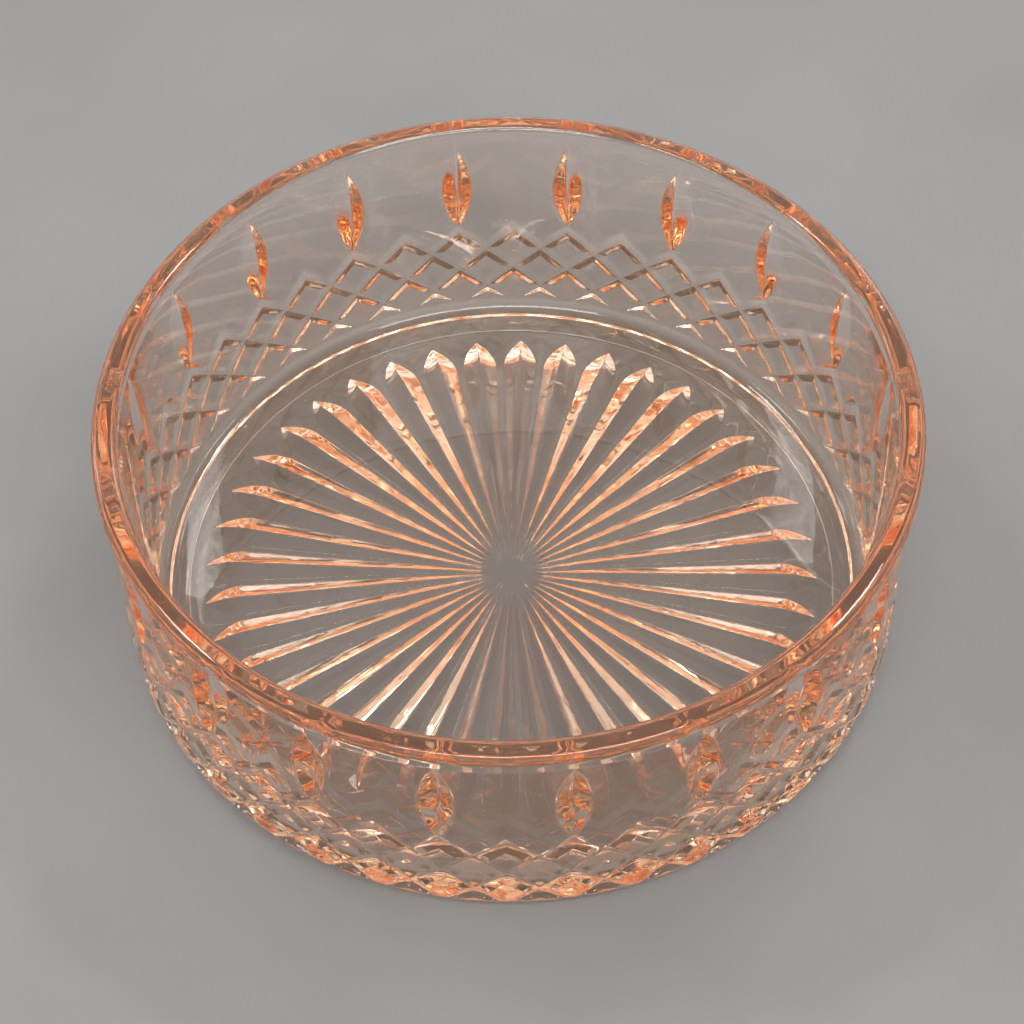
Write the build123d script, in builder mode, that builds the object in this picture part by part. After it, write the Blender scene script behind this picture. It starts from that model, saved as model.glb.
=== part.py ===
"""Pressed glass candy dish: one gather of glass, with a cut-style pattern pressed into it.

Millimetres, +Z up, origin at the centre of the resting face. One wall flute is centred on +X.
"""

import os
from math import atan2, cos, degrees, pi, radians, sin, tan

from build123d import *

# Overall form
rim_diameter = 150.0  # over the bead at the lip
overall_height = 53.2  # resting face to the top of the lip
wall_thickness = 4.6  # at the lip, bead included
inner_draft = 3.6  # degrees the inside narrows by towards the floor
lip_radius = 1.6  # rounding on both edges of the lip

# Outer wall, from the bead down
bead_height = 2.6  # from the top of the lip to the lower edge of the bead's flank
bead_flow = 2.4  # further height over which the bead flows into the wall
wall_inset = 1.0  # the wall lies this far inside the bead
base_corner = 7.0  # height over which the wall curves in to the foot

# Floor and foot
floor_thickness = 4.8  # over the recess
foot_recess = 0.8  # the star's field stands clear of the table by this
foot_inset = 4.6  # the foot lies inside the wall by this
foot_width = 1.5  # the ring that the bowl stands on
recess_slope = 1.3  # run of the slope from the foot into the recess
floor_fillet = 3.2  # inside, from the wall to the floor

# Upright almond-shaped flutes below the lip
flute_count = 20
flute_top = 5.6  # below the top of the lip
flute_bottom = 27.8
flute_width = 6.4
flute_cut = 2.8  # deepest point of the V
flute_bite = 0.25  # a flute that reaches the bead cuts no deeper into it than this

# Diamond lattice round the lower wall
diamond_count = 40  # two to each flute, the first under the first flute
lattice_top = 29.0  # depth of the upper points below the top of the lip
diamond_half_height = 5.4
lattice_bottom = 50.0  # the grooves run out over the base corner
groove_width = 3.4
groove_cut = 0.85

# Star pressed into the underside
ray_count = 40
ray_offset = -1.5  # degrees from the first flute: the base plate of the mould has its own angle
ray_hub = 3.0  # radius of the plain spot in the middle
ray_shoulder = 52.5  # radius of a ray's widest point
ray_tip = 59.5
ray_share = 0.86  # of the pitch, at the widest point
ray_slope = 30.5  # degrees between a ray's faces and the underside

cut_clearance = 0.8  # cutting tools reach this far outside the glass

# Derived
rim_radius = rim_diameter / 2
wall_radius = rim_radius - wall_inset
inner_radius = rim_radius - wall_thickness
foot_radius = wall_radius - foot_inset
recess_radius = foot_radius - foot_width - recess_slope
floor_height = foot_recess + floor_thickness
floor_radius = inner_radius - (overall_height - floor_height) * tan(radians(inner_draft))
lattice_height = overall_height - lattice_top


def round_corner(x, z, radius):
    """Fillet the corner of the current sketch nearest to (x, z)."""
    fillet(vertices().sort_by_distance((x, z))[0], radius)


# The blank: a shallow straight-sided bowl turned about Z, from a plane between two flutes
blank_angle = radians(180 / flute_count * 0.6)
blank_radial = Vector(cos(blank_angle), sin(blank_angle), 0)
blank_plane = Plane((0, 0, 0), x_dir=blank_radial, z_dir=blank_radial.cross(Vector(0, 0, 1)))
with BuildPart() as blank:
    with BuildSketch(blank_plane):
        with BuildLine():
            Polyline(
                (foot_radius, 0),
                (foot_radius - foot_width, 0),
                (recess_radius, foot_recess),
                (0, foot_recess),
                (0, floor_height),
                (floor_radius, floor_height),
                (inner_radius, overall_height),
                (rim_radius, overall_height),
                (rim_radius, overall_height - bead_height),
            )
            Spline(
                (rim_radius, overall_height - bead_height),
                (wall_radius, overall_height - bead_height - bead_flow),
                tangents=((0, -1), (0, -1)),
            )
            Line(
                (wall_radius, overall_height - bead_height - bead_flow),
                (wall_radius, base_corner),
            )
            TangentArc(
                (wall_radius, base_corner),
                (foot_radius, 0),
                tangent=(0, -1),
            )
        make_face()
        round_corner(floor_radius, floor_height, floor_fillet)
        round_corner(inner_radius, overall_height, lip_radius)
        round_corner(rim_radius, overall_height, lip_radius)
    revolve(axis=Axis.Z)

# One flute: the edge of a V-faced wheel that enters the wall from outside, trimmed so that it keeps
# off the bead
flute_length = flute_bottom - flute_top
flute_height = overall_height - (flute_top + flute_bottom) / 2
wheel_radius = flute_length**2 / (8 * flute_cut) + flute_cut / 2
wheel_centre = wall_radius - flute_cut + wheel_radius
wheel_reach = flute_cut + cut_clearance
wheel_face = flute_width / 2 / flute_cut * wheel_reach
with BuildPart() as flute:
    with BuildSketch(Plane((wheel_centre, 0, flute_height), x_dir=(1, 0, 0), z_dir=(0, 0, 1))):
        with BuildLine():
            Polyline(
                (wheel_radius, 0),
                (wheel_radius - wheel_reach, wheel_face),
                (wheel_radius - wheel_reach, -wheel_face),
                close=True,
            )
        make_face()
    revolve(axis=Axis((wheel_centre, 0, flute_height), (0, 1, 0)))
    Cylinder(wall_radius + flute_bite, 2 * overall_height, rotation=(0, 0, 90), mode=Mode.INTERSECT)

# One lattice groove: a V that follows the wall at a slant, so it lies on a larger circle
half_pitch = 180 / diamond_count  # degrees round the bowl for one half diamond
half_width = radians(half_pitch) * wall_radius
slant = atan2(diamond_half_height, half_width)
groove_radius = wall_radius / cos(slant) ** 2
groove_drop = lattice_bottom - lattice_top
groove_middle = lattice_height - groove_drop / 2
groove_turn = half_pitch * groove_drop / 2 / diamond_half_height
groove_arc = degrees(groove_drop / sin(slant) / groove_radius)
groove_centre = Vector(wall_radius - groove_radius, 0, groove_middle)
groove_axis = Axis(groove_centre, (0, sin(slant), cos(slant)))
groove_start = Vector(1, 0, 0).rotate(Axis((0, 0, 0), groove_axis.direction), -groove_arc / 2)
groove_plane = Plane(groove_centre, x_dir=groove_start, z_dir=groove_start.cross(groove_axis.direction))
groove_reach = groove_cut + cut_clearance
groove_face = groove_width / 2 / groove_cut * groove_reach
with BuildPart() as groove:
    with BuildSketch(groove_plane):
        with BuildLine():
            Polyline(
                (groove_radius - groove_cut, 0),
                (groove_radius + cut_clearance, groove_face),
                (groove_radius + cut_clearance, -groove_face),
                close=True,
            )
        make_face()
    revolve(axis=groove_axis, revolution_arc=groove_arc)

# One ray of the star: a V that widens from the hub and closes in a leaf tip
ray_width = ray_share * 2 * pi * ray_shoulder / ray_count
ray_close = ray_tip - ray_shoulder
ray_tip_sections = [(ray_shoulder + ray_close * step, 1 - step**2) for step in (0, 0.35, 0.6, 0.82, 1)]


def ray_triangle(radius, share):
    """Cross-section of a ray at a radius, or the point where it starts or ends."""
    if share == 0:
        return Vertex(radius, 0, foot_recess)
    half = share * ray_width / 2
    rise = half * tan(radians(ray_slope))
    with BuildSketch(Plane((radius, 0, foot_recess), x_dir=(0, 1, 0), z_dir=(1, 0, 0))) as section:
        with BuildLine():
            Polyline((-half, 0), (half, 0), (0, rise), close=True)
        make_face()
    return section.sketch.face()


with BuildPart() as ray:
    loft([ray_triangle(radius, share) for radius, share in [(ray_hub, 0), *ray_tip_sections]], ruled=True)

# The dish
with BuildPart() as bowl:
    add(blank.part)
    with PolarLocations(0, flute_count):
        add(flute.part, mode=Mode.SUBTRACT)
    with PolarLocations(0, diamond_count, start_angle=groove_turn):
        add(groove.part, mode=Mode.SUBTRACT)
    with PolarLocations(0, diamond_count, start_angle=-groove_turn):
        add(mirror(groove.part, about=Plane.XZ, mode=Mode.PRIVATE), mode=Mode.SUBTRACT)
    with PolarLocations(0, ray_count, start_angle=ray_offset):
        add(ray.part, mode=Mode.SUBTRACT)

os.makedirs("parts", exist_ok=True)
bowl.part.label = "bowl"
export_step(bowl.part, "parts/bowl.step")
print("bowl volume", round(bowl.part.volume), "mm3, box", bowl.part.bounding_box().size)
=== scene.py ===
import math

import bpy
import bmesh
from mathutils import Matrix, Vector
from mathutils.geometry import delaunay_2d_cdt


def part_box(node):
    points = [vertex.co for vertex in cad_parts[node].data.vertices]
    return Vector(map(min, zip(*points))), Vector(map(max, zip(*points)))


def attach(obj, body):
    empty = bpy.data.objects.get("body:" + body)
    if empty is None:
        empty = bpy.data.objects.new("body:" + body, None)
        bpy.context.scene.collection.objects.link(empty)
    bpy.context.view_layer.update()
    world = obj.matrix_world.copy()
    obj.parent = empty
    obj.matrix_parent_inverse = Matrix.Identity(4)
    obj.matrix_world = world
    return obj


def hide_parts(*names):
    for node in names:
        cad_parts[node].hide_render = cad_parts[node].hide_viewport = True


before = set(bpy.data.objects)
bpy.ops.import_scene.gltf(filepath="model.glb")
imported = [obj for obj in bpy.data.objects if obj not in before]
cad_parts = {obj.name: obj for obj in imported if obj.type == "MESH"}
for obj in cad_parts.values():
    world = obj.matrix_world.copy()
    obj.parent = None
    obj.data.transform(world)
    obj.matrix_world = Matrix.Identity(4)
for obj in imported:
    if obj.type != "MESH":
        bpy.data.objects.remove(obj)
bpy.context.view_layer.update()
dishLow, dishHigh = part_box("bowl")
mm = 0.001
print("frame loaded, dish box", [round(v, 4) for v in (*dishLow, *dishHigh)])

# everything about the shape is in millimetres, and turns into metres in addPoint

dish = {
    "rimRadius": (dishHigh.x - dishLow.x) / 2 / mm,
    "height": dishHigh.z / mm,
    "wallInset": 1.0,       # the wall lies inside the bead by this
    "wallThickness": 4.6,   # at the lip, bead included
    "innerDraft": 3.6,      # degrees
    "lipRound": 1.6,
    "beadHeight": 2.6,
    "beadFlow": 2.4,
    "baseCorner": 7.0,      # height over which the wall curves in to the foot
    "floorThickness": 4.8,
    "footRecess": 0.8,
    "footInner": 67.9,
    "footWidth": 1.5,
    "recessSlope": 1.3,
    "mouldLine": 62.6,      # a fine step where two plates of the mould met
    "mouldStep": 0.12,
    "footSoftness": 0.5,    # rounding of the foot's inner edges
    "footEdge": 0.4,        # and of its outer edge
    "mouldRound": 0.1,
    "floorFillet": 3.2,
    "segments": 240,        # round the plain turned surfaces
    "underRun": 2.5,        # longest straight piece of the outline under the floor
    "insideRun": 6.0,       # and inside the bowl
    "cornerRows": (1.0, 0.7, 0.42, 0.2),   # heights of the rings between the lattice and the foot
    "cornerLean": 0.3,      # the corner comes in by this below the lowest of them
    "fieldGap": 0.6,        # from the star to the first ring turned round it
    "rimStart": 0.2,        # the turned rim starts this far over the bead's lower edge
    "innerHub": 1.0,        # radius of the floor's innermost ring
    "weldGap": 2e-4,        # points closer than this become one
}
wallRadius = dish["rimRadius"] - dish["wallInset"]
innerRadius = dish["rimRadius"] - dish["wallThickness"]
floorHeight = dish["footRecess"] + dish["floorThickness"]
floorRadius = innerRadius - (dish["height"] - floorHeight) * math.tan(math.radians(dish["innerDraft"]))

points, faces = [], []


def addPoint(radius, angle, height):
    points.append((radius * math.cos(angle) * mm, radius * math.sin(angle) * mm, height * mm))
    return len(points) - 1


def softMin(a, b, softness):
    return 0.5 * (a + b - math.hypot(a - b, softness))


def ringOf(radius, height, angles):
    return [(angle, addPoint(radius, angle, height)) for angle in angles]


def evenAngles(count):
    return [2 * math.pi * i / count for i in range(count)]


# joins two rings of any spacing with a band of triangles; each ring is a list of (angle, point)
def zipRings(lower, upper):
    turn = 2 * math.pi
    lower, upper = ([(angle % turn, index) for angle, index in ring] for ring in (lower, upper))
    lower.sort()
    upper.sort()
    lower.append((lower[0][0] + turn, lower[0][1]))
    upper.append((upper[0][0] + turn, upper[0][1]))
    i = j = 0
    while i < len(lower) - 1 or j < len(upper) - 1:
        stepLower = j == len(upper) - 1 or (i < len(lower) - 1 and lower[i + 1][0] <= upper[j + 1][0])
        if stepLower:
            faces.append((lower[i][1], lower[i + 1][1], upper[j][1]))
            i += 1
        else:
            faces.append((lower[i][1], upper[j + 1][1], upper[j][1]))
            j += 1


# joins two rings that have the same spacing with squares
def joinRings(lower, upper):
    count = len(lower)
    for i in range(count):
        k = (i + 1) % count
        faces.append((lower[i][1], lower[k][1], upper[k][1], upper[i][1]))


# a turned outline: corners are (radius, height, rounding)
def roundedOutline(corners, steps):
    outline = []
    for n, (radius, height, rounding) in enumerate(corners):
        here = Vector((radius, height))
        if not rounding:
            outline.append(here)
            continue
        before = (Vector(corners[n - 1][:2]) - here).normalized()
        after = (Vector(corners[n + 1][:2]) - here).normalized()
        half = before.angle(after) / 2
        centre = here + (before + after).normalized() * rounding / math.sin(half)
        start = here + before * rounding / math.tan(half) - centre
        sweep = math.pi - 2 * half
        side = 1 if before.x * after.y - before.y * after.x < 0 else -1
        for k in range(steps + 1):
            turned = start.copy()
            turned.rotate(Matrix.Rotation(side * sweep * k / steps, 2))
            outline.append(centre + turned)
    return outline


# splits the long straight runs of an outline
def withLongRunsSplit(outline, longest):
    result = [outline[0]]
    for here in outline[1:]:
        gap = here - result[-1]
        parts = max(1, math.ceil(gap.length / longest))
        start = result[-1]
        result += [start + gap * k / parts for k in range(1, parts + 1)]
    return result


footOuter = dish["footInner"] + dish["footWidth"]
cornerRun = wallRadius - footOuter
cornerRadius = (cornerRun ** 2 + dish["baseCorner"] ** 2) / (2 * cornerRun)
cornerTurn = math.asin(dish["baseCorner"] / cornerRadius)


def plainRadius(height):
    corner = dish["baseCorner"]
    flowTop = dish["height"] - dish["beadHeight"]
    flowBottom = flowTop - dish["beadFlow"]
    if height < corner:
        return wallRadius - cornerRadius + math.sqrt(cornerRadius ** 2 - (corner - height) ** 2)
    if height > flowBottom:
        t = min(1, (height - flowBottom) / (flowTop - flowBottom))
        return wallRadius + dish["wallInset"] * t * t * (3 - 2 * t)
    return wallRadius


flutes = {
    "count": 20,
    "top": 5.6,             # below the lip
    "bottom": 27.8,
    "width": 6.4,
    "cut": 2.8,
    "rootSoftness": 0.16,   # pressed glass has no knife edges
    "edgeSoftness": 0.08,
    "columns": (0, 0.08, 0.2, 0.45, 0.7, 0.88, 1.0, 1.12, 1.35),   # shares of the flute's half width
    "plainColumns": (0.12, 0.35, 0.65, 1.0),   # and then of the way to the edge of its part of the wall
    "leastWidth": 1.0,
    "rows": (0, 0.02, 0.05, 0.09, 0.16, 0.24, 0.32, 0.41, 0.5, 0.59, 0.68,
             0.76, 0.83, 0.885, 0.92, 0.95, 0.975, 1.0),   # shares of the way from the join to the top
    "join": 26.6,           # height where the lattice's mesh takes over, over the flutes' tips
    "margin": 0.2,          # plain glass above the highest row
}
fluteLength = flutes["bottom"] - flutes["top"]
fluteMiddle = dish["height"] - (flutes["bottom"] + flutes["top"]) / 2
wheelRadius = fluteLength ** 2 / (8 * flutes["cut"]) + flutes["cut"] / 2
fluteSlope = flutes["cut"] / (flutes["width"] / 2)


def fluteRootDepth(height):
    off = height - fluteMiddle
    return flutes["cut"] - wheelRadius + math.sqrt(max(0, wheelRadius ** 2 - off ** 2))


def fluteDepth(across, height):
    face = fluteRootDepth(height) - math.hypot(across, flutes["rootSoftness"]) * fluteSlope
    return -softMin(-face, 0, flutes["edgeSoftness"])


def flutedRadius(across, height):
    return plainRadius(height) - fluteDepth(across, height)


# places across one flute's share of the wall that get a point at this height
def fluteColumns(height):
    edge = math.pi / flutes["count"] * wallRadius
    half = max(fluteRootDepth(height) / fluteSlope, flutes["leastWidth"] / 2)
    right = [share * half for share in flutes["columns"]]
    right += [right[-1] + share * (edge - right[-1]) for share in flutes["plainColumns"]]
    return [-x for x in reversed(right[1:])] + right


def fluteBand():
    sector = 2 * math.pi / flutes["count"]
    top = fluteMiddle + fluteLength / 2
    heights = [flutes["join"] + (top - flutes["join"]) * share for share in flutes["rows"]]
    rings = []
    for height in heights + [top + flutes["margin"]]:
        ring = []
        for n in range(flutes["count"]):
            for across in fluteColumns(height)[:-1]:
                angle = n * sector + across / wallRadius
                ring.append((angle, addPoint(flutedRadius(across, height), angle, height)))
        rings.append(ring)
    for lower, upper in zip(rings, rings[1:]):
        joinRings(lower, upper)
    return rings[-1]


lattice = {
    "count": 40,            # diamonds round the wall, two to a flute
    "top": 29.0,            # below the lip
    "halfHeight": 5.4,
    "width": 3.4,
    "cut": 0.85,
    "rootSoftness": 0.16,
    "edgeSoftness": 0.07,
    "lines": (0, 0.13, 0.8, 1.52, 1.7, 1.88, 2.25, 3.1),   # distances from a root that get an edge
    "cornerStep": 0.12,     # length of the pieces of a line on the base corner, in half heights
    "runOut": 2.2,          # height where the grooves have left the glass
    "lowest": 1.2,
    "lowColumns": 12,       # spaces between the points of the lowest row, in one flute's share
    "joinGap": 0.15,        # the lines stop this far under the flutes' mesh
    "shareEdge": 2,         # half pitches from a flute to the edge of its share of the wall
    "sameRow": 1e-4,        # mm between places that count as level
    "samePoint": 1e-5,      # and as one
    "samePlace": 1e-6,      # half pitches
}
latticeTop = dish["height"] - lattice["top"]
halfWidth = math.pi / lattice["count"] * wallRadius
acrossGroove = 1 / math.hypot(1 / halfWidth, 1 / lattice["halfHeight"])   # mm for one half pitch
grooveSlope = lattice["cut"] / (lattice["width"] / 2)


def halfHeightsDown(height):
    return (latticeTop - height) / lattice["halfHeight"]


# radius of the glass at a place in half pitches round and half heights down
def latticeRadius(around, down):
    height = latticeTop - down * lattice["halfHeight"]
    nearest = 1.0
    for along, side in ((around - down, 1), (around + down, -1)):
        peak = 2 * round(along / 2)
        if side * (around - peak) >= -lattice["samePlace"]:
            nearest = min(nearest, abs(along - peak))
    away = math.hypot(nearest * acrossGroove, lattice["rootSoftness"])
    groove = wallRadius - lattice["cut"] + away * grooveSlope
    fluted = flutedRadius(around * halfWidth, height)
    return softMin(fluted, groove, lattice["edgeSoftness"])


def outlineLength(height):
    corner = dish["baseCorner"]
    if height < corner:
        return cornerRadius * (cornerTurn - math.asin((corner - height) / cornerRadius))
    return cornerRadius * cornerTurn + height - corner


def outlineHeight(length):
    corner = dish["baseCorner"]
    if length < cornerRadius * cornerTurn:
        return corner - cornerRadius * math.sin(cornerTurn - length / cornerRadius)
    return length - cornerRadius * cornerTurn + corner


# the edges of one flute's share of the lattice, laid out flat: x round the wall, y up the outline
def latticeEdges():
    first = halfHeightsDown(flutes["join"] - lattice["joinGap"])
    last, corner = halfHeightsDown(lattice["runOut"]), halfHeightsDown(dish["baseCorner"])
    edge = lattice["shareEdge"]
    furthest = 2 * math.ceil((edge + last) / 2)   # the last peak with a groove that comes this far
    lines = []
    for peak in range(-furthest, furthest + 1, 2):
        for distance in lattice["lines"]:
            for offset in {distance / acrossGroove, -distance / acrossGroove}:
                starts = [max(-offset, first), corner]
                while starts[-1] < last:
                    starts.append(min(last, starts[-1] + lattice["cornerStep"]))
                for side in (1, -1):
                    lines.append([(peak + side * (offset + d), d) for d in starts])
    flat = []
    for line in lines:
        for (a1, d1), (a2, d2) in zip(line, line[1:]):
            if min(a1, a2) >= edge or max(a1, a2) <= -edge:
                continue
            ends = [(a1, d1), (a2, d2)]
            for n in (0, 1):   # an end past the edge moves back to it
                if abs(ends[n][0]) > edge:
                    limit = math.copysign(edge, ends[n][0])
                    ends[n] = (limit, d1 + (d2 - d1) * (limit - a1) / (a2 - a1))
            flat.append(ends)
    return flat


def flatPlace(around, down):
    return Vector((around * halfWidth, outlineLength(latticeTop - down * lattice["halfHeight"])))


def latticeBand():
    coords, edges = [], []
    for start, end in latticeEdges():
        coords += [flatPlace(*start), flatPlace(*end)]
        edges.append((len(coords) - 2, len(coords) - 1))

    # the lowest and highest row, and the sides between them
    low, high = outlineLength(lattice["lowest"]), outlineLength(flutes["join"])
    edge = lattice["shareEdge"] * halfWidth
    spaces = lattice["lowColumns"]
    lowRow = [edge * (2 * k / spaces - 1) for k in range(spaces + 1)]
    ends = []
    for height, row in ((low, lowRow), (high, fluteColumns(flutes["join"]))):
        edges += [(len(coords) + k, len(coords) + k + 1) for k in range(len(row) - 1)]
        ends += [len(coords), len(coords) + len(row) - 1]
        coords += [Vector((x, height)) for x in row]
    edges += [(ends[0], ends[2]), (ends[1], ends[3])]

    # the flute's tip
    tip = outlineLength(fluteMiddle - fluteLength / 2)
    half = fluteRootDepth(flutes["join"]) / fluteSlope
    for x in (-half, 0, half):
        coords += [Vector((0, tip)), Vector((x, high))]
        edges.append((len(coords) - 2, len(coords) - 1))

    spots, _, triangles, *_ = delaunay_2d_cdt(coords, edges, [], 0, lattice["samePoint"])
    sector = 2 * math.pi / flutes["count"]
    bottom = []
    for n in range(flutes["count"]):
        numbers = []
        for spot in spots:
            height = outlineHeight(spot.y)
            angle = n * sector + spot.x / wallRadius
            if abs(spot.y - high) < lattice["sameRow"]:   # meets the flutes' mesh
                radius = flutedRadius(spot.x, height)
            else:
                radius = latticeRadius(spot.x / halfWidth, halfHeightsDown(height))
            number = addPoint(radius, angle, height)
            numbers.append(number)
            if spot.x < edge - lattice["sameRow"] and abs(spot.y - low) < lattice["sameRow"]:
                bottom.append((angle, number))
        faces.extend(tuple(numbers[v] for v in triangle) for triangle in triangles)
    return bottom


star = {
    "count": 40,
    "offset": math.radians(-1.5),
    "hub": 3.0,
    "shoulder": 52.5,
    "tip": 59.5,
    "share": 0.86,          # of the pitch, at the shoulder
    "slope": math.tan(math.radians(30.5)),
    "rootSoftness": 0.05,
    "edgeSoftness": 0.04,
    "leastHalf": 0.2,       # half width that the columns keep where a ray ends
    "mostShare": 0.9,       # of half the pitch that they spread over
    "columns": (0, 0.06, 0.5, 0.93, 1.0, 1.07),
    "rows": (1.5, 3, 4.5, 6.5, 9, 12, 16, 21, 27, 33, 39, 45, 49, 51.5, 52.5, 53.5,
             54.7, 55.8, 56.8, 57.6, 58.3, 58.9, 59.4, 59.8, 60.2),
}
rayHalf = star["share"] * math.pi * star["shoulder"] / star["count"]


def rayHalfWidth(radius):
    if radius < star["shoulder"]:
        return rayHalf * (radius - star["hub"]) / (star["shoulder"] - star["hub"])
    return rayHalf * (1 - ((radius - star["shoulder"]) / (star["tip"] - star["shoulder"])) ** 2)


def rayDepth(radius, across):
    face = (rayHalfWidth(radius) - math.hypot(across, star["rootSoftness"])) * star["slope"]
    return -softMin(-face, 0, star["edgeSoftness"])


def starField():
    pitch = 2 * math.pi / star["count"]
    hub = addPoint(0, 0, dish["footRecess"])
    rings = []
    for radius in star["rows"]:
        edge = radius * math.sin(pitch / 2)
        half = min(max(rayHalfWidth(radius), star["leastHalf"]), edge * star["mostShare"])
        right = [share * half for share in star["columns"]] + [edge]
        acrossAll = [-x for x in reversed(right[1:-1])] + right
        ring = []
        for n in range(star["count"]):
            for across in acrossAll:
                angle = star["offset"] + n * pitch + math.asin(across / radius)
                height = dish["footRecess"] + rayDepth(radius, across)
                ring.append((angle, addPoint(radius, angle, height)))
        rings.append(ring)
    inner = rings[0]
    for i in range(len(inner)):
        faces.append((hub, inner[i][1], inner[(i + 1) % len(inner)][1]))
    for lower, upper in zip(rings, rings[1:]):
        joinRings(lower, upper)
    return rings[-1]


def turned(outline):
    rings = [ringOf(p.x, p.y, evenAngles(dish["segments"])) for p in outline]
    for lower, upper in zip(rings, rings[1:]):
        joinRings(lower, upper)
    return rings[0], rings[-1]


def footBand():
    recess, line, step = dish["footRecess"], dish["mouldLine"], dish["mouldStep"]
    rows, soft, fine = dish["cornerRows"], dish["footSoftness"], dish["mouldRound"]
    outline = [Vector((plainRadius(height), height)) for height in rows]
    outline += roundedOutline([(footOuter + dish["cornerLean"], rows[-1], 0),
                               (footOuter, 0, dish["footEdge"]),
                               (dish["footInner"], 0, soft),
                               (dish["footInner"] - dish["recessSlope"], recess, soft),
                               (line + step, recess, fine),
                               (line, recess - step, fine),
                               (line - step, recess, fine),
                               (star["rows"][-1] + dish["fieldGap"], recess, 0)], steps=3)[1:]
    return turned(withLongRunsSplit(outline, dish["underRun"]))


def lipAndInside():
    top, rim, lip = dish["height"], dish["rimRadius"], dish["lipRound"]
    outline = roundedOutline([(rim, top - dish["beadHeight"] + dish["rimStart"], 0),
                              (rim, top, lip),
                              (innerRadius, top, lip),
                              (floorRadius, floorHeight, dish["floorFillet"]),
                              (dish["innerHub"], floorHeight, 0)], steps=8)
    outer, inner = turned(withLongRunsSplit(outline, dish["insideRun"]))
    centre = addPoint(0, 0, floorHeight)
    for i in range(len(inner)):
        faces.append((centre, inner[i][1], inner[(i + 1) % len(inner)][1]))
    return outer


def buildDish():
    starEdge = starField()
    footOutside, footInside = footBand()
    latticeLow = latticeBand()
    fluteHigh = fluteBand()
    lipOuter = lipAndInside()
    zipRings(starEdge, footInside)
    zipRings(footOutside, latticeLow)
    zipRings(fluteHigh, lipOuter)
    mesh = bpy.data.meshes.new("pressedDish")
    mesh.from_pydata(points, [], faces)
    work = bmesh.new()
    work.from_mesh(mesh)
    bmesh.ops.remove_doubles(work, verts=work.verts, dist=dish["weldGap"] * mm)
    bmesh.ops.recalc_face_normals(work, faces=work.faces)
    openEdges = sum(1 for e in work.edges if not e.is_manifold)
    work.to_mesh(mesh)
    work.free()
    for polygon in mesh.polygons:
        polygon.use_smooth = True
    triangles = sum(len(p.vertices) - 2 for p in mesh.polygons)
    print("dish mesh:", len(mesh.vertices), "points,", triangles, "triangles,", openEdges, "open edges")
    body = bpy.data.objects.new("pressedDish", mesh)
    bpy.context.scene.collection.objects.link(body)
    return body


dishBody = buildDish()
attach(dishBody, "root")
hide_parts("bowl")


glass = {
    "paleTint": (1.0, 0.98, 0.962, 1.0),
    "warmTint": (1.0, 0.94, 0.908, 1.0),
    "ior": 1.52,
    "absorbColour": (0.92, 0.54, 0.17, 1.0),
    "absorbDensity": 25.0,      # per metre
    "tintScale": 35.0,
    "tintRange": (0.3, 0.7),    # of the noise, from pale to warm
    "waveScale": 75.0,          # slow unevenness left by the mould
    "waveDepth": 0.00005,
    "skinScale": 520.0,         # pebbly skin, strong under the floor and faint above
    "skinDepth": 0.000016,
    "insideSkin": 0.12,         # share of it left inside and on the wall
    "skinBottom": 0.0035,       # the pebbles fade out between these heights
    "skinTop": 0.0052,
    "roughness": (0.0, 0.022),  # smoothest and dullest
    "dullRange": (0.35, 0.75),  # of the noise, from smooth to dull
}


# one noise over the dish, in its own coordinates
def addNoise(nodes, links, coordinate, scale, detail):
    noise = nodes.new("ShaderNodeTexNoise")
    noise.inputs["Scale"].default_value = scale
    noise.inputs["Detail"].default_value = detail
    links.new(coordinate, noise.inputs["Vector"])
    return noise.outputs["Fac"]


def addMath(nodes, links, operation, first, second):
    node = nodes.new("ShaderNodeMath")
    node.operation = operation
    for socket, value in zip(node.inputs, (first, second)):
        if isinstance(value, (int, float)):
            socket.default_value = value
        else:
            links.new(value, socket)
    return node.outputs[0]


def addRange(nodes, links, value, low, high, newLow, newHigh):
    node = nodes.new("ShaderNodeMapRange")
    for name, number in zip(("From Min", "From Max", "To Min", "To Max"), (low, high, newLow, newHigh)):
        node.inputs[name].default_value = number
    links.new(value, node.inputs["Value"])
    return node.outputs[0]


def addMix(nodes, links, share, first, second):
    node = nodes.new("ShaderNodeMix")
    node.data_type = "RGBA"
    links.new(share, node.inputs["Factor"])
    node.inputs["A"].default_value = first
    node.inputs["B"].default_value = second
    return node.outputs["Result"]


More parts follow.
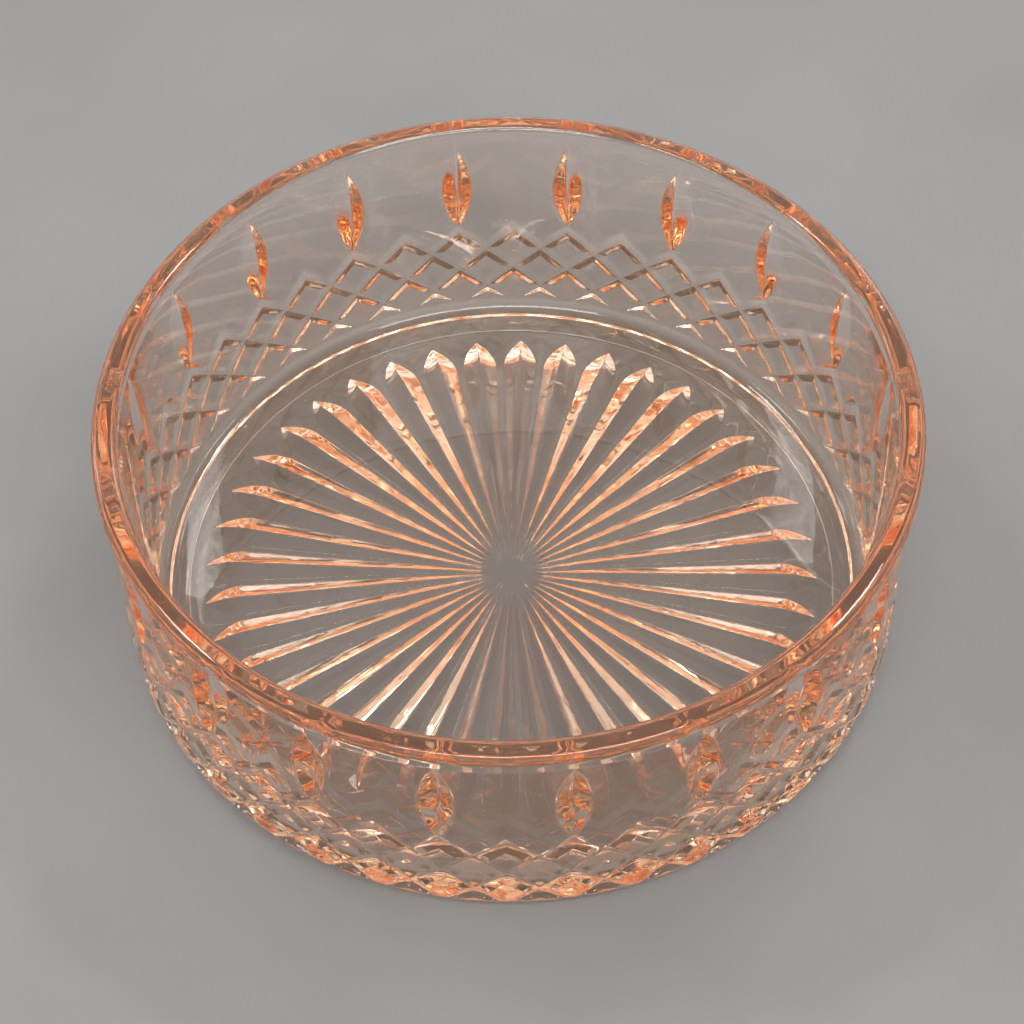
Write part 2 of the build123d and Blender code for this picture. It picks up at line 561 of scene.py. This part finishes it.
def pinkGlass():
    material = bpy.data.materials.new("pinkPressedGlass")
    material.use_nodes = True
    nodes, links = material.node_tree.nodes, material.node_tree.links
    nodes.clear()
    output = nodes.new("ShaderNodeOutputMaterial")
    shader = nodes.new("ShaderNodeBsdfPrincipled")
    shader.inputs["Transmission Weight"].default_value = 1.0
    shader.inputs["IOR"].default_value = glass["ior"]
    place = nodes.new("ShaderNodeTexCoord").outputs["Object"]

    # a little more colour here and there
    tint = addNoise(nodes, links, place, glass["tintScale"], 2)
    tint = addRange(nodes, links, tint, *glass["tintRange"], 0, 1)
    colour = addMix(nodes, links, tint, glass["paleTint"], glass["warmTint"])
    links.new(colour, shader.inputs["Base Color"])

    # waves everywhere, pebbles below
    wave = addNoise(nodes, links, place, glass["waveScale"], 2)
    skin = addNoise(nodes, links, place, glass["skinScale"], 3)
    split = nodes.new("ShaderNodeSeparateXYZ")
    links.new(place, split.inputs[0])
    below = addRange(nodes, links, split.outputs["Z"],
                     glass["skinBottom"], glass["skinTop"], 1, glass["insideSkin"])
    waveHeight = addMath(nodes, links, "MULTIPLY", wave, glass["waveDepth"])
    skinHeight = addMath(nodes, links, "MULTIPLY", skin, glass["skinDepth"])
    skinHeight = addMath(nodes, links, "MULTIPLY", skinHeight, below)
    bump = nodes.new("ShaderNodeBump")
    bump.inputs["Distance"].default_value = 1.0
    links.new(addMath(nodes, links, "ADD", waveHeight, skinHeight), bump.inputs["Height"])
    links.new(bump.outputs["Normal"], shader.inputs["Normal"])
    dull = addRange(nodes, links, skin, *glass["dullRange"], *glass["roughness"])
    links.new(dull, shader.inputs["Roughness"])
    links.new(shader.outputs["BSDF"], output.inputs["Surface"])

    volume = nodes.new("ShaderNodeVolumeAbsorption")
    volume.inputs["Color"].default_value = glass["absorbColour"]
    volume.inputs["Density"].default_value = glass["absorbDensity"]
    links.new(volume.outputs["Volume"], output.inputs["Volume"])
    return material


dishBody.data.materials.append(pinkGlass())
print("glass done")


studio = {
    "floorSize": 3.0,
    "floorDrop": 0.0001,    # keeps the floor off the foot
    "floorColour": (0.235, 0.23, 0.225, 1.0),
    "floorShade": (0.215, 0.211, 0.207, 1.0),
    "floorGrain": 14.0,
    "floorRange": (0.35, 0.65),     # of the noise, from one shade to the other
    "floorRoughness": (0.7, 0.85),
    "sideColour": (1.0, 0.98, 0.96, 1.0),
    "topColour": (0.55, 0.55, 0.56, 1.0),
    "skyRange": (0.1, 0.8),         # heights where the side colour ends and the top colour starts
    "skyStrength": 1.5,
    "aim": (0.0, 0.0, 0.02),
    "lights": (             # name, place, size in metres, power
        ("leftSoftbox", (-0.42, 0.38, 1.0), (0.26, 0.10), 1.4),
        ("rightSoftbox", (0.46, 0.40, 1.0), (0.26, 0.10), 1.6),
        ("frontStrip", (0.0, -0.52, 1.05), (0.9, 0.16), 5.5),
        ("windowLeft", (-0.9, 0.75, 0.55), (0.12, 0.5), 1.0),
        ("windowRight", (0.75, 0.95, 0.6), (0.2, 0.5), 1.2),
    ),
}


def makeFloor():
    bpy.ops.mesh.primitive_plane_add(size=studio["floorSize"], location=(0, 0, -studio["floorDrop"]))
    floor = bpy.context.object
    floor.name = "floor"
    material = bpy.data.materials.new("paleFloor")
    material.use_nodes = True
    nodes, links = material.node_tree.nodes, material.node_tree.links
    shader = nodes["Principled BSDF"]
    place = nodes.new("ShaderNodeTexCoord").outputs["Object"]
    grain = addNoise(nodes, links, place, studio["floorGrain"], 3)
    shade = addRange(nodes, links, grain, *studio["floorRange"], 0, 1)
    colour = addMix(nodes, links, shade, studio["floorColour"], studio["floorShade"])
    links.new(colour, shader.inputs["Base Color"])
    dull = addRange(nodes, links, shade, 0, 1, *studio["floorRoughness"])
    links.new(dull, shader.inputs["Roughness"])
    floor.data.materials.append(material)


def areaLight(name, place, size, power):
    data = bpy.data.lights.new(name, "AREA")
    data.shape = "RECTANGLE"
    data.size, data.size_y = size
    data.energy = power
    light = bpy.data.objects.new(name, data)
    bpy.context.scene.collection.objects.link(light)
    light.location = place
    towards = Vector(studio["aim"]) - Vector(place)
    light.rotation_euler = towards.to_track_quat("-Z", "Y").to_euler()


def makeStudio():
    makeFloor()
    world = bpy.data.worlds.new("studio")
    bpy.context.scene.world = world
    world.use_nodes = True
    nodes, links = world.node_tree.nodes, world.node_tree.links
    background = nodes["Background"]
    background.inputs["Strength"].default_value = studio["skyStrength"]
    place = nodes.new("ShaderNodeTexCoord")
    split = nodes.new("ShaderNodeSeparateXYZ")
    ramp = nodes.new("ShaderNodeValToRGB")
    colours = studio["sideColour"], studio["topColour"]
    for element, colour, position in zip(ramp.color_ramp.elements, colours, studio["skyRange"]):
        element.color = colour
        element.position = position
    links.new(place.outputs["Generated"], split.inputs[0])
    links.new(split.outputs["Z"], ramp.inputs["Fac"])
    links.new(ramp.outputs["Color"], background.inputs["Color"])
    for name, place, size, power in studio["lights"]:
        areaLight(name, place, size, power)


camera = {
    "turn": -7.63,          # degrees about Z, so that the flutes stand as they should
    "back": 0.3061,
    "height": 0.4209,       # over the table
    "tilt": 52.5,           # degrees down
    "swing": -0.075,        # to the right
    "roll": -1.0,
    "lens": 93.5,
    "sensor": 36,
    "nearest": 0.01,
}


def makeCamera():
    data = bpy.data.cameras.new("camera")
    data.lens = camera["lens"]
    data.sensor_width = camera["sensor"]
    data.clip_start = camera["nearest"]
    view = bpy.data.objects.new("camera", data)
    bpy.context.scene.collection.objects.link(view)
    turn = Matrix.Rotation(math.radians(camera["turn"]), 4, "Z")
    place = Matrix.Translation((0, -camera["back"], camera["height"]))
    tilt = Matrix.Rotation(math.radians(90 - camera["tilt"]), 4, "X")
    roll = Matrix.Rotation(math.radians(camera["roll"]), 4, "Z")
    swing = Matrix.Rotation(math.radians(camera["swing"]), 4, "Z")
    view.matrix_world = turn @ place @ swing @ tilt @ roll
    bpy.context.scene.camera = view
    bpy.context.scene.view_settings.view_transform = "Standard"


lightPaths = {
    "max_bounces": 24,      # light runs a long way inside the glass before it gets out
    "glossy_bounces": 20,
    "transmission_bounces": 16,
}


def setLightPaths():
    for name, count in lightPaths.items():
        setattr(bpy.context.scene.cycles, name, count)


makeStudio()
makeCamera()
setLightPaths()
print("studio done")
